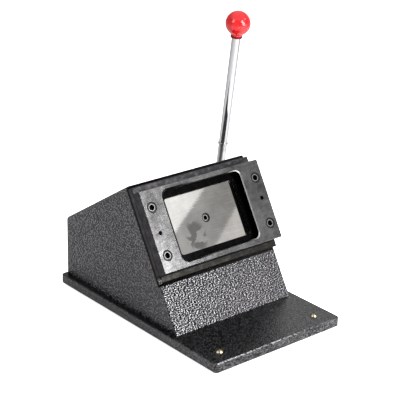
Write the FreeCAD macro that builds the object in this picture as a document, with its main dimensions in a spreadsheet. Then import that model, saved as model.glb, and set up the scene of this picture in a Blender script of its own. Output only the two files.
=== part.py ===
import FreeCAD, Part
import math
import os
import Sketcher

# PVC identity-card cutter: a hand lever turns a cam shaft, the cam drives a card-shaped
# punch straight up the normal of a sloping front, and the punch shears a card out of a
# sheet held in the slot between two steel plates.
#
# Frame: origin on the ground under the middle of the base plate, +X to the right of a
# person at the lever, +Y to the back, +Z up. Lengths in millimetres.
# Slope frame (plates, punch, ram): x along X, y = distance up the sloping front from its
# foot on the base plate, z = height above the outside of the front panel.

V = FreeCAD.Vector
OUT_DIR = "parts"
doc = FreeCAD.newDocument("card_cutter")

# ---------------------------------------------------------------- driving dimensions

D = dict(
    # base plate and what stands under it
    base_wide=152, base_deep=236, base_thick=9, base_corner=3, base_edge=0.8,
    mat_thick=3, mat_wide=136, mat_deep=220, mat_corner=6, nut_pocket=4.3, nut_pocket_deep=2.2,
    mat_nut=4.04, mat_nut_high=1.8, mat_nut_z=0.35, mat_nut_bore=2.05,
    foot_x=58, foot_front_y=-101.4, foot_rear_y=100, foot_shank_radius=2, foot_hole_radius=2.1,
    foot_head_radius=3.5, foot_head_high=2.2, foot_recess=0.9, cross_long=4.4, cross_wide=0.9,
    cross_turn=20, sink_room=0.1,
    # sheet-steel housing
    slope_deg=59, slope_len=143, front_y=-56, back_y=116, eave_height=59,
    shell_half=70, shell_wall=3, shell_edge=1.6, eave_edge=4,
    shell_window_wide=88, shell_window_high=57, shell_window_corner=4,
    shell_shaft_hole=9.5, hatch_wide=100, hatch_high=36, hatch_z=39.5, hatch_screw_x=52.5,
    hatch_screw_dz=19.5, hatch_tap=1.55, cover_wide=113, cover_high=47, cover_thick=1.5,
    cover_corner=4, cover_hole=1.7, cover_slot_wide=0.9, cover_slot_deep=0.9,
    # guide plate, slot spacers, die plate
    card_wide=85.6, card_high=54, card_corner=3.18, card_s=95,
    guide_wide=141, guide_foot_s=49, guide_top_s=140, guide_thick=5, guide_gap=0.1,
    slot_gap=1.2, spacer_inner=54, spacer_outer=68.5, spacer_foot_s=58, spacer_top_s=132,
    die_wide=143, die_foot_s=56, die_top_s=134, die_thick=9.5, die_gap=0.05, die_corner=1,
    die_land=2.7, relief_wide=93, relief_high=66.5, relief_s=95.25, relief_corner=6,
    plate_edge=0.6, guide_edge=0.9, relief_edge=0.9,
    screw_x=62.5, screw_low_s=71.8, screw_top_s=117.3, screw_head=5, screw_sink=5.3,
    screw_head_high=6, screw_sink_deep=6.3, screw_shank=3, screw_clear=3.2, screw_tap=3.05,
    screw_len=35, hex_six=2.887, hex_deep=3,
    dowel_radius=2, dowel_hole=2.03, dowel_len=14, dowel_n=0.2, dowel_left_s=93,
    dowel_right_s=97,
    # punch and ram
    punch_rest=4.6, punch_long=18.6, bore_sink=4.5, bore_sink_deep=6, bore_clear=2.7,
    bore_head=4.25, bore_head_high=5, bore_shank=2.5, bore_len=25, hex_five=2.309,
    hex_five_deep=2.5,
    ram_wide=46, ram_high=34, ram_root=-50, fork_inner=6.4, fork_outer=15, fork_round=8,
    ram_corner=1, ram_gap=0.05, ram_tap_deep=15, pin_radius=4, pin_long=34, pin_hole=4.03,
    clip_radius=6.5, clip_thick=1, clip_x=15.1, clip_mouth=4,
    block_half=66, block_foot_s=63, block_top_s=127, block_front=-3, block_rear=-40,
    block_pocket_wide=88, block_pocket_high=57, block_pocket_deep=15, block_corner=4,
    block_tap_deep=27, tap_five=2.55, tap_six=3.05,
    # cam shaft and its bearings
    shaft_n=-89, shaft_radius=8, shaft_left=-66, shaft_right=85.5,
    cam_reach=25, cam_rate=5.6, cam_turn=65, cam_half=6, cam_hub=14, cam_hub_half=13,
    cam_rim=12.3, cam_slot=6.8, cam_margin=1.2, roller_radius=6.5, roller_bore=4.06,
    roller_half=5.6, drift_radius=2, drift_hole=2.02, drift_x=9.5, drift_sunk=0.2,
    bore_fit=8.04, bush_radius=9.97, bush_seat=10, block_inner_x=50, block_outer_x=64,
    bearing_deep=40, bearing_above=18, collar_radius=14, collar_long=10, collar_x=39.8,
    washer_radius=13, washer_in=70.1, washer_out=71.9, grub_hole=2,
    grub_radius=1.95, grub_start=8.1, grub_long=5.6, grub_hex=1.155, grub_hex_deep=1.5,
    # lever
    lever_x=79, lean_deg=7.6, hub_radius=15, hub_in=72, hub_out=86, boss_radius=6.6, boss_root=10,
    boss_reach=30, socket_start=14, stem_radius=4.3, stem_hole=4.34, stem_start=15, stem_end=87.3,
    stem_ring=5, stem_ring_long=1.6, nut_reach=30.2, nut_high=6.5, nut_hex=7.506, rod_radius=4.3,
    rod_end=198.6, stud_radius=3, stud_bore=3.05, stud_long=12, knob_radius=12.1,
    knob_reach=212.8, knob_neck=5.75,
    end_washer_radius=10, end_washer_thick=1.6, end_head=5, end_head_high=6, end_len=18,
    end_tap_deep=20,
    # screws driven up through the base plate, and the angles inside
    block_screw_dy=13, block_screw_x=57, block_screw_reach=14, bearing_tap_deep=17,
    sink_six=6, sink_six_high=3, shank_six=3, sunk_socket_deep=1.8,
    angle_half=35, angle_leg=18, angle_thick=3, angle_screw_x=58, angle_screw_y=25,
    sink_five=5, sink_five_high=2.5, shank_five=2.5, cover_head=3.4, cover_head_high=1.8,
    cover_shank=1.5, cover_screw_len=6,
)

PAST = 1      # how far a cutting tool runs beyond the faces that it opens
LAP = 0.2     # how far two primitives that are fused reach into each other
NEAR = 1.5    # an edge whose middle is this close to an outline belongs to it

SLOPE = math.radians(D["slope_deg"])
COS_S = math.cos(SLOPE)
SIN_S = math.sin(SLOPE)


def slope_to_frame(s, n):
    """(y, z) of the point s up the slope and n above the front panel."""
    y = D["front_y"] + s * COS_S - n * SIN_S
    z = D["deck_z"] + s * SIN_S + n * COS_S
    return y, z


D["deck_z"] = D["mat_thick"] + D["base_thick"]
D["foot_ball_radius"] = D["foot_head_radius"] ** 2 / (2 * D["foot_head_high"]) + D["foot_head_high"] / 2
D["foot_ball_drop"] = D["foot_ball_radius"] - D["foot_head_high"]
D["foot_ball_angle"] = math.degrees(math.asin(D["foot_ball_drop"] / D["foot_ball_radius"]))
D["inner_half"] = D["shell_half"] - D["shell_wall"]
D["ridge_y"], D["ridge_z"] = slope_to_frame(D["slope_len"], 0)
D["eave_z"] = D["deck_z"] + D["eave_height"]
D["shaft_y"], D["shaft_z"] = slope_to_frame(D["card_s"], D["shaft_n"])
D["slot_n"] = D["guide_thick"]
D["die_n"] = D["guide_thick"] + D["slot_gap"]
D["face_n"] = D["die_n"] + D["die_thick"]
D["pin_n"] = D["shaft_n"] + D["cam_reach"]
D["ram_face"] = D["punch_rest"] - D["punch_long"]
D["drift_half"] = D["cam_hub"] - D["drift_sunk"]
D["block_z"] = D["shaft_z"] + D["bearing_above"] - D["deck_z"]
D["angle_front"] = -D["angle_half"]
D["front_hole_y"] = D["shaft_y"] - D["block_screw_dy"]
D["rear_hole_y"] = D["shaft_y"] + D["block_screw_dy"]
D["spacer_wide"] = D["spacer_outer"] - D["spacer_inner"]
D["bearing_long"] = D["block_outer_x"] - D["block_inner_x"]
D["fork_thick"] = D["fork_outer"] - D["fork_inner"]
D["fork_wide"] = 2 * D["fork_round"]
D["angle_long"] = 2 * D["angle_half"]
D["block_wide"] = 2 * D["block_half"]
D["block_long"] = D["block_front"] - D["block_rear"]
D["ram_long"] = D["ram_face"] - D["ram_root"]
D["die_relief"] = D["die_thick"] - D["die_land"]
D["screw_seat_n"] = D["face_n"] - D["screw_sink_deep"]
D["bore_seat_n"] = D["punch_rest"] - D["bore_sink_deep"]
D["spacer_high"] = D["spacer_top_s"] - D["spacer_foot_s"]
for plate in ("guide", "die", "block"):
    D[plate + "_high"] = D[plate + "_top_s"] - D[plate + "_foot_s"]
    D[plate + "_mid_s"] = (D[plate + "_top_s"] + D[plate + "_foot_s"]) / 2
D["ram_bore_wide"] = D["ram_wide"] + 2 * D["ram_gap"]
D["ram_bore_high"] = D["ram_high"] + 2 * D["ram_gap"]
D["ram_bore_corner"] = D["ram_corner"] - D["ram_gap"]
for fit in ("guide", "die"):
    D[fit + "_hole_wide"] = D["card_wide"] + 2 * D[fit + "_gap"]
    D[fit + "_hole_high"] = D["card_high"] + 2 * D[fit + "_gap"]
    D[fit + "_hole_corner"] = D["card_corner"] + D[fit + "_gap"]

sheet = doc.addObject("Spreadsheet::Sheet", "Dims")
for row, (alias, value) in enumerate(D.items(), start=1):
    sheet.set("A%d" % row, alias)
    sheet.set("B%d" % row, "%.9g" % value)
    sheet.setAlias("B%d" % row, alias)
doc.recompute()

# ---------------------------------------------------------------- helpers

NODES = []
UP_SLOPE = FreeCAD.Rotation(V(1, 0, 0), D["slope_deg"])
ALONG_X = FreeCAD.Rotation(V(0, 1, 0), 90)
ALONG_Y = FreeCAD.Rotation(V(1, 0, 0), -90)


def read(ref):
    """A reference is a number, an alias, or a minus sign and an alias: gives (value, expression)."""
    if not isinstance(ref, str):
        return float(ref), None
    if ref.startswith("-"):
        return -float(D[ref[1:]]), "-Dims." + ref[1:]
    return float(D[ref]), "Dims." + ref


def place(obj, at=(0, 0, 0), turn=None):
    """Places an object, each coordinate bound to the sheet where it has an alias."""
    values = [read(ref) for ref in at]
    obj.Placement = FreeCAD.Placement(V(*[v for v, _ in values]), turn or FreeCAD.Rotation())
    for axis, (_, expression) in zip("xyz", values):
        if expression:
            obj.setExpression("Placement.Base." + axis, expression)
    return obj


def on_slope(obj):
    """Lays an object built in the slope frame onto the sloping front."""
    place(obj, (0, "front_y", "deck_z"), UP_SLOPE)
    obj.setExpression("Placement.Rotation.Angle", "Dims.slope_deg")
    return obj


def prim(kind, name, at=(0, 0, 0), turn=None, **sizes):
    """A Part primitive whose sizes are references; a prism is always a hexagon."""
    obj = doc.addObject("Part::" + kind, name)
    for prop, ref in sizes.items():
        value, expression = read(ref)
        setattr(obj, prop, value)
        if expression:
            obj.setExpression(prop, expression)
    return place(obj, at, turn)


def fuse(name, *parts):
    obj = doc.addObject("Part::MultiFuse", name)
    obj.Shapes = list(parts)
    return obj


def cut(name, base, *tools):
    obj = doc.addObject("Part::Cut", name)
    obj.Base = base
    obj.Tool = tools[0] if len(tools) == 1 else fuse(name + "_tools", *tools)
    return obj


def group(name, *parts):
    obj = doc.addObject("Part::Compound", name)
    obj.Links = list(parts)
    return obj


def node(obj, label):
    """Names an object as a finished sub-part of the assembly."""
    doc.recompute()
    obj.Label = label
    NODES.append(obj)
    return obj


def body(name):
    return doc.addObject("PartDesign::Body", name)


def sketch(owner, name, height=0):
    """A sketch on a body's own origin XY plane, lifted off it by a height."""
    plane = next(f for f in owner.Origin.OriginFeatures if f.Role == "XY_Plane")
    sk = owner.newObject("Sketcher::SketchObject", name)
    sk.AttachmentSupport = (plane, [""])
    sk.MapMode = "FlatFace"
    value, expression = read(height)
    sk.AttachmentOffset = FreeCAD.Placement(V(0, 0, value), FreeCAD.Rotation())
    if expression:
        sk.setExpression("AttachmentOffset.Base.z", expression)
    return sk


def limit(sk, label, expression, *terms):
    """Adds a named dimension to a sketch and binds it to the sheet."""
    index = sk.addConstraint(Sketcher.Constraint(*terms))
    sk.renameConstraint(index, label)
    if expression:
        sk.setExpression("Constraints." + label, expression)


def pin_point(sk, label, geo, point, at):
    """Holds a point of a sketch at a place given by two references."""
    for axis, other, ref in (("X", -2, at[0]), ("Y", -1, at[1])):
        value, expression = read(ref)
        if value == 0:
            sk.addConstraint(Sketcher.Constraint("PointOnObject", geo, point, other))
        else:
            limit(sk, label + "_" + axis.lower(), expression, "Distance" + axis, -1, 1, geo, point, value)


def circle(sk, label, at, radius):
    (x, _), (y, _), (r, expression) = read(at[0]), read(at[1]), read(radius)
    geo = sk.addGeometry(Part.Circle(V(x, y, 0), V(0, 0, 1), r), False)
    limit(sk, label + "_radius", expression, "Radius", geo, r)
    pin_point(sk, label, geo, 3, at)


def polygon(sk, label, corners):
    """A closed polygon whose corners are references."""
    points = [V(read(x)[0], read(y)[0], 0) for x, y in corners]
    first = sk.GeometryCount
    count = len(points)
    for i, point in enumerate(points):
        sk.addGeometry(Part.LineSegment(point, points[(i + 1) % count]), False)
    for i in range(count):
        sk.addConstraint(Sketcher.Constraint("Coincident", first + i, 2, first + (i + 1) % count, 1))
    for i, corner in enumerate(corners):
        pin_point(sk, "%s_%d" % (label, i), first + i, 1, corner)


def rounded_rect(sk, label, centre, wide, high, corner):
    """A rectangle with rounded corners about a centre given by two references."""
    (cx, _), (cy, _) = read(centre[0]), read(centre[1])
    (w, w_ref), (h, h_ref), (r, r_ref) = read(wide), read(high), read(corner)
    x0, x1, y0, y1 = cx - w / 2, cx + w / 2, cy - h / 2, cy + h / 2
    g = sk.GeometryCount
    sides = (((x0 + r, y0), (x1 - r, y0)), ((x1, y0 + r), (x1, y1 - r)),
             ((x1 - r, y1), (x0 + r, y1)), ((x0, y1 - r), (x0, y0 + r)))
    for (ax, ay), (bx, by) in sides:
        sk.addGeometry(Part.LineSegment(V(ax, ay, 0), V(bx, by, 0)), False)
    corners = ((x1 - r, y0 + r, -90), (x1 - r, y1 - r, 0), (x0 + r, y1 - r, 90), (x0 + r, y0 + r, 180))
    for ax, ay, start in corners:
        round_ = Part.Circle(V(ax, ay, 0), V(0, 0, 1), r)
        arc = Part.ArcOfCircle(round_, math.radians(start), math.radians(start + 90))
        sk.addGeometry(arc, False)
    middle = sk.addGeometry(Part.Point(V(cx, cy, 0)), True)
    for i in range(4):
        sk.addConstraint(Sketcher.Constraint("Tangent", g + i, 2, g + 4 + i, 1))
        sk.addConstraint(Sketcher.Constraint("Tangent", g + 4 + i, 2, g + (i + 1) % 4, 1))
    for i in (0, 2):
        sk.addConstraint(Sketcher.Constraint("Horizontal", g + i))
        sk.addConstraint(Sketcher.Constraint("Vertical", g + i + 1))
    for i in (4, 5, 6):
        sk.addConstraint(Sketcher.Constraint("Equal", g + i, g + i + 1))
    limit(sk, label + "_round", r_ref, "Radius", g + 4, r)
    limit(sk, label + "_wide", w_ref, "DistanceX", g + 3, 1, g + 1, 2, w)
    limit(sk, label + "_high", h_ref, "DistanceY", g, 1, g + 2, 1, h)
    sk.addConstraint(Sketcher.Constraint("Symmetric", g + 7, 3, g + 5, 3, middle, 1))
    pin_point(sk, label + "_mid", middle, 1, centre)


def pad(owner, profile, length):
    feature = owner.newObject("PartDesign::Pad", profile.Name + "_pad")
    feature.Profile = profile
    value, expression = read(length)
    feature.Length = value
    if expression:
        feature.setExpression("Length", expression)
    doc.recompute()
    return feature


def pocket(owner, profile, depth):
    """Cuts downward from the sketch, and proves that it took material away."""
    before = owner.Shape.Volume
    feature = owner.newObject("PartDesign::Pocket", profile.Name + "_pocket")
    feature.Profile = profile
    value, expression = read(depth)
    feature.Length = value
    if expression:
        feature.setExpression("Length", expression)
    doc.recompute()
    if not owner.Shape.Volume < before - 1:
        raise RuntimeError("pocket %s cut nothing" % profile.Name)
    return feature


def edges_where(shape, test):
    return ["Edge%d" % (i + 1) for i, edge in enumerate(shape.Edges) if test(edge)]


def dress(owner, kind, test, size):
    """A chamfer or fillet on the body's edges that pass a test."""
    tip = owner.Tip
    names = edges_where(tip.Shape, test)
    if not names:
        raise RuntimeError("no edge to dress on " + owner.Name)
    feature = owner.newObject("PartDesign::" + kind, owner.Name + "_" + kind.lower())
    feature.Base = (tip, names)
    value, expression = read(size)
    prop = "Size" if kind == "Chamfer" else "Radius"
    setattr(feature, prop, value)
    if expression:
        feature.setExpression(prop, expression)
    doc.recompute()


def at_height(edge, height):
    return all(abs(v.Z - height) < 1e-6 for v in edge.Vertexes)


# ---------------------------------------------------------------- base


def make_base_plate():
    plate = body("base_plate_body")
    sk = sketch(plate, "base_outline", "mat_thick")
    rounded_rect(sk, "rim", (0, 0), "base_wide", "base_deep", "base_corner")
    pad(plate, sk, "base_thick")
    holes = sketch(plate, "base_foot_holes", "deck_z")
    for i, (x, y) in enumerate(foot_spots()):
        circle(holes, "f%d" % i, (x, y), "foot_hole_radius")
    pocket(plate, holes, "base_thick")
    six = sketch(plate, "base_block_holes", "deck_z")
    for i, x in enumerate(("-block_screw_x", "block_screw_x")):
        for k, y in enumerate(("front_hole_y", "rear_hole_y")):
            circle(six, "b%d%d" % (i, k), (x, y), "screw_clear")
    pocket(plate, six, "base_thick")
    five = sketch(plate, "base_angle_holes", "deck_z")
    for i, x in enumerate(("-angle_screw_x", "angle_screw_x")):
        for k, y in enumerate(("-angle_screw_y", "angle_screw_y")):
            circle(five, "a%d%d" % (i, k), (x, y), "bore_clear")
    pocket(plate, five, "base_thick")
    for name, radius, depth, spots in (
            ("base_six_sinks", "sink_six", "sink_six_high",
             ("block_screw_x", "front_hole_y", "rear_hole_y")),
            ("base_five_sinks", "sink_five", "sink_five_high",
             ("angle_screw_x", "-angle_screw_y", "angle_screw_y"))):
        sk = sketch(plate, name, D["mat_thick"] + D[depth] + D["sink_room"])
        for i, x in enumerate(("-" + spots[0], spots[0])):
            for k, y in enumerate(spots[1:]):
                circle(sk, "s%d%d" % (i, k), (x, y), D[radius] + D["sink_room"])
        pocket(plate, sk, D[depth] + D["sink_room"])
    deck = D["deck_z"]
    dress(plate, "Chamfer", lambda e: at_height(e, deck) and is_rim(e), "base_edge")
    node(plate, "base_plate")


def is_rim(edge):
    """True for an edge on the base plate's outline."""
    middle = edge.CenterOfMass
    side = abs(middle.x) > D["base_wide"] / 2 - NEAR
    end = abs(middle.y) > D["base_deep"] / 2 - NEAR
    return side or end


def foot_spots():
    for x in ("-foot_x", "foot_x"):
        for y in ("foot_front_y", "foot_rear_y"):
            yield x, y


def make_mat():
    """Rubber mat under the base plate, with a pocket from below for the nut of each corner screw."""
    mat = body("rubber_mat_body")
    sk = sketch(mat, "mat_outline")
    rounded_rect(sk, "mat", (0, 0), "mat_wide", "mat_deep", "mat_corner")
    pad(mat, sk, "mat_thick")
    drill(mat, "mat_holes", "mat_thick", "mat_thick", "foot_hole_radius", foot_spots())
    drill(mat, "mat_nut_pockets", "nut_pocket_deep", "nut_pocket_deep", "nut_pocket", foot_spots())
    node(mat, "rubber_mat")
    nuts = []
    for x, y in foot_spots():
        blank = prim("Prism", "mat_nut", (x, y, "mat_nut_z"), Circumradius="mat_nut",
                     Height="mat_nut_high")
        thread = prim("Cylinder", "mat_nut_thread", (x, y, 0), Radius="mat_nut_bore",
                      Height="mat_thick")
        nuts.append(cut("mat_nut", blank, thread))
    node(group("mat_nut_set", *nuts), "mat_nuts")
    node(group("foot_screw_set", *[foot_screw(x, y) for x, y in foot_spots()]), "foot_screws")


def foot_screw(x, y):
    """Domed machine screw with a cross recess, standing on the base plate."""
    foot_z = D["deck_z"] - D["foot_ball_drop"]
    foot = D["mat_nut_z"]
    dome = prim("Sphere", "foot_dome", (x, y, foot_z), Radius="foot_ball_radius",
                Angle1="foot_ball_angle")
    shank = prim("Cylinder", "foot_shank", (x, y, foot), Radius="foot_shank_radius",
                 Height=D["deck_z"] - foot + LAP)
    solid = fuse("foot_blank", dome, shank)
    long, wide = D["cross_long"], D["cross_wide"]
    floor = foot_z + D["foot_ball_radius"] - D["foot_recess"]
    bars = []
    for turn in (D["cross_turn"], D["cross_turn"] + 90):
        bar = prim("Box", "foot_bar", Length="cross_long", Width="cross_wide", Height="foot_head_high")
        spin = FreeCAD.Rotation(V(0, 0, 1), turn)
        corner = V(read(x)[0], read(y)[0], floor) + spin.multVec(V(-long / 2, -wide / 2, 0))
        bar.Placement = FreeCAD.Placement(corner, spin)
        bars.append(bar)
    return cut("foot_screw", solid, *bars)


# ---------------------------------------------------------------- housing


def profile_prism(name, corners, half):
    """A prism along X whose section is a polygon in the Y-Z plane."""
    sk = doc.addObject("Sketcher::SketchObject", name + "_section")
    sk.Placement = FreeCAD.Placement(V(0, 0, 0), FreeCAD.Rotation(V(1, 1, 1), 120))
    polygon(sk, "p", corners)
    solid = doc.addObject("Part::Extrusion", name)
    solid.Base = sk
    solid.DirMode = "Normal"
    solid.Solid = True
    solid.Symmetric = True
    solid.LengthFwd = 2 * D[half]
    solid.setExpression("LengthFwd", "2 * Dims." + half)
    return solid


def inside_corners():
    """The housing's section moved inward by its wall, open below."""
    wall = D["shell_wall"]
    open_below = 5
    foot_y = D["front_y"] + wall / SIN_S
    top_run = D["back_y"] - D["ridge_y"]
    top_fall = D["ridge_z"] - D["eave_z"]
    pitch = math.atan2(top_fall, top_run)
    back = D["back_y"] - wall
    # where the front panel's inner face meets the top panel's inner face
    rise = math.tan(SLOPE)
    drop = math.tan(pitch)
    top_z = D["ridge_z"] - wall / math.cos(pitch)
    y = (top_z + drop * D["ridge_y"] - D["deck_z"] + rise * foot_y) / (rise + drop)
    z = D["deck_z"] + rise * (y - foot_y)
    eave = top_z - drop * (back - D["ridge_y"])
    below = D["deck_z"] - open_below
    start = foot_y - open_below / rise
    return (start, below), (y, z), (back, eave), (back, below)


def make_housing():
    outside = profile_prism("shell_outside", (
        ("front_y", "deck_z"), ("ridge_y", "ridge_z"), ("back_y", "eave_z"), ("back_y", "deck_z")),
        "shell_half")
    doc.recompute()
    rounded = doc.addObject("Part::Fillet", "shell_rounded")
    rounded.Base = outside
    rounded.Edges = shell_rounds(outside.Shape)
    hollow = prism_of_numbers("shell_hollow", inside_corners(), D["inner_half"])
    front = on_slope(front_openings())
    through = D["shell_wall"] + 2 * PAST
    shaft_hole = prim("Cylinder", "shell_shaft_hole", (D["inner_half"] - PAST, "shaft_y", "shaft_z"),
                      ALONG_X, Radius="shell_shaft_hole", Height=through)
    behind = D["back_y"] - D["shell_wall"] - PAST
    hatch = prim("Box", "hatch", (-D["hatch_wide"] / 2, behind, D["hatch_z"] - D["hatch_high"] / 2),
                 Length="hatch_wide", Width=through, Height="hatch_high")
    taps = [prim("Cylinder", "hatch_tap", (x, behind, z), ALONG_Y, Radius="hatch_tap",
                 Height=through) for x, z in hatch_screws()]
    node(cut("shell", rounded, hollow, front, shaft_hole, hatch, *taps), "housing_shell")


def prism_of_numbers(name, corners, half):
    """A prism along X from plain (y, z) numbers."""
    points = [V(-half, y, z) for y, z in corners]
    wire = Part.makePolygon(points + points[:1])
    solid = doc.addObject("Part::Feature", name)
    solid.Shape = Part.Face(wire).extrude(V(2 * half, 0, 0))
    return solid


def shell_rounds(shape):
    """Outer edges of the housing that are ground round, with their radii."""
    rounds = []
    for i, edge in enumerate(shape.Edges, start=1):
        low = all(abs(v.Z - D["deck_z"]) < 1e-6 for v in edge.Vertexes)
        if low:
            continue
        middle = edge.CenterOfMass
        eave = abs(middle.x) < 1 and abs(middle.z - D["eave_z"]) < 1e-3
        radius = D["eave_edge"] if eave else D["shell_edge"]
        rounds.append((i, radius, radius))
    return rounds


def hatch_screws():
    for x in (-D["hatch_screw_x"], D["hatch_screw_x"]):
        for dz in (-D["hatch_screw_dz"], D["hatch_screw_dz"]):
            yield x, D["hatch_z"] + dz


def front_openings():
    """Punch opening and screw holes through the sloping front panel, in the slope frame."""
    left = -D["shell_window_wide"] / 2
    foot = D["card_s"] - D["shell_window_high"] / 2
    floor = -D["shell_wall"] - PAST
    through = D["shell_wall"] + 2 * PAST
    slab = prim("Box", "punch_opening", (left, foot, floor), Length="shell_window_wide",
                Width="shell_window_high", Height=through)
    doc.recompute()
    round_ = D["shell_window_corner"]
    soft = doc.addObject("Part::Fillet", "punch_opening_soft")
    soft.Base = slab
    soft.Edges = [(i, round_, round_) for i, e in enumerate(slab.Shape.Edges, start=1)
                  if abs(e.tangentAt(e.FirstParameter).z) > 0.99]
    holes = [prim("Cylinder", "front_hole", (x, s, floor), Radius="screw_clear", Height=through)
             for x, s in screw_spots()]
    return fuse("front_openings", soft, *holes)


def make_cover():
    cover = body("rear_cover_body")
    sk = sketch(cover, "cover_outline")
    rounded_rect(sk, "c", (0, 0), "cover_wide", "cover_high", "cover_corner")
    pad(cover, sk, "cover_thick")
    holes = sketch(cover, "cover_holes", "cover_thick")
    for i, x in enumerate(("-hatch_screw_x", "hatch_screw_x")):
        for k, y in enumerate(("-hatch_screw_dz", "hatch_screw_dz")):
            circle(holes, "h%d%d" % (i, k), (x, y), "cover_hole")
    pocket(cover, holes, "cover_thick")
    place(cover, (0, "back_y", "hatch_z"), FreeCAD.Rotation(V(1, 0, 0), -90))
    node(cover, "rear_cover")
    screws = []
    for x, z in hatch_screws():
        face = D["back_y"] + D["cover_thick"]
        head = prim("Cylinder", "cover_head", (x, face, z), ALONG_Y, Radius="cover_head",
                    Height="cover_head_high")
        shank = prim("Cylinder", "cover_shank", (x, face - D["cover_screw_len"], z), ALONG_Y,
                     Radius="cover_shank", Height=D["cover_screw_len"] + LAP)
        half = D["cover_head"] + PAST
        slot = prim("Box", "cover_slot", (x - half, face + D["cover_head_high"] - D["cover_slot_deep"],
                                          z - D["cover_slot_wide"] / 2),
                    Length=2 * half, Width=D["cover_slot_deep"] + PAST, Height="cover_slot_wide")
        screws.append(cut("cover_screw", fuse("cover_blank", head, shank), slot))
    node(group("cover_screw_set", *screws), "cover_screws")


def make_angles():
    """Two steel angles that tie the side panels down to the base plate."""
    angles = []
    inner = D["inner_half"]
    for side in (-1, 1):
        low_x = inner - D["angle_leg"] if side > 0 else -inner
        tall_x = inner - D["angle_thick"] if side > 0 else -inner
        low = prim("Box", "angle_low", (low_x, "angle_front", "deck_z"), Length="angle_leg",
                   Width="angle_long", Height="angle_thick")
        tall = prim("Box", "angle_tall", (tall_x, "angle_front", "deck_z"), Length="angle_thick",
                    Width="angle_long", Height="angle_leg")
        taps = [prim("Cylinder", "angle_tap", (side * D["angle_screw_x"], y, D["deck_z"] - PAST),
                     Radius="tap_five", Height=D["angle_thick"] + 2 * PAST)
                for y in ("-angle_screw_y", "angle_screw_y")]
        angles.append(cut("angle", fuse("angle_blank", low, tall), *taps))
    node(group("angle_set", *angles), "mounting_angles")


def sunk_screw(x, y, head, head_high, shank, top):
    """Flat-head screw driven up from under the base plate."""
    foot = D["mat_thick"]
    cone = prim("Cone", "sunk_head", (x, y, foot), Radius1=head, Radius2=shank, Height=head_high)
    stem = prim("Cylinder", "sunk_shank", (x, y, foot + LAP), Radius=shank, Height=top - foot - LAP)
    socket = prim("Prism", "sunk_socket", (x, y, foot - PAST), Circumradius="hex_five",
                  Height=D["sunk_socket_deep"] + PAST)
    return cut("sunk_screw", fuse("sunk_blank", cone, stem), socket)


def make_base_screws():
    screws = []
    for x in ("-block_screw_x", "block_screw_x"):
        for y in ("front_hole_y", "rear_hole_y"):
            screws.append(sunk_screw(x, y, "sink_six", "sink_six_high", "shank_six",
                                     D["deck_z"] + D["block_screw_reach"]))
    for x in ("-angle_screw_x", "angle_screw_x"):
        for y in ("-angle_screw_y", "angle_screw_y"):
            screws.append(sunk_screw(x, y, "sink_five", "sink_five_high", "shank_five",
                                     D["deck_z"] + D["angle_thick"]))
    node(group("base_screw_set", *screws), "base_screws")


# ---------------------------------------------------------------- plates on the sloping front


def screw_spots():
    for x in ("-screw_x", "screw_x"):
        for s in ("screw_low_s", "screw_top_s"):
            yield x, s


def dowel_spots():
    return ("-screw_x", "dowel_left_s"), ("screw_x", "dowel_right_s")


def drill(owner, name, height, depth, radius, spots):
    sk = sketch(owner, name, height)
    for i, spot in enumerate(spots):
        circle(sk, "d%d" % i, spot, radius)
    pocket(owner, sk, depth)


def slope_rect(owner, name, height, centre_s, wide, high, corner):
    """A sketch of one rounded rectangle, centred across the slope."""
    sk = sketch(owner, name, height)
    rounded_rect(sk, "edge", (0, centre_s), wide, high, corner)
    return sk


def make_guide_plate():
    plate = body("guide_plate_body")
    pad(plate, slope_rect(plate, "guide_outline", 0, "guide_mid_s", "guide_wide", "guide_high",
                          "die_corner"), "guide_thick")
    pocket(plate, slope_rect(plate, "guide_opening", "guide_thick", "card_s", "guide_hole_wide",
                             "guide_hole_high", "guide_hole_corner"), "guide_thick")
    drill(plate, "guide_screw_holes", "guide_thick", "guide_thick", "screw_clear", screw_spots())
    drill(plate, "guide_dowel_holes", "guide_thick", "guide_thick", "dowel_hole", dowel_spots())
    top = D["guide_thick"]
    dress(plate, "Chamfer", lambda e: at_height(e, top) and on_outline(e, "guide"), "guide_edge")
    node(on_slope(plate), "guide_plate")


def on_outline(edge, plate):
    """True for an edge on the outline of the guide or die plate."""
    middle = edge.CenterOfMass
    side = abs(middle.x) > D[plate + "_wide"] / 2 - NEAR
    return side or abs(middle.y - D[plate + "_mid_s"]) > D[plate + "_high"] / 2 - NEAR


def make_spacers():
    """Two strips that hold the die plate off the guide plate and leave the slot for the sheet."""
    strips = []
    for side in (-1, 1):
        left = "spacer_inner" if side > 0 else "-spacer_outer"
        strip = prim("Box", "strip", (left, "spacer_foot_s", "slot_n"), Length="spacer_wide",
                     Width="spacer_high", Height="slot_gap")
        x = side * D["screw_x"]
        dowel_s = "dowel_right_s" if side > 0 else "dowel_left_s"
        spots = ("screw_low_s", "screw_clear"), ("screw_top_s", "screw_clear"), (dowel_s, "dowel_hole")
        holes = [prim("Cylinder", "strip_hole", (x, s, D["slot_n"] - PAST), Radius=radius,
                      Height=D["slot_gap"] + 2 * PAST) for s, radius in spots]
        strips.append(cut("spacer", strip, *holes))
    node(on_slope(group("spacer_set", *strips)), "slot_spacers")


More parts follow.
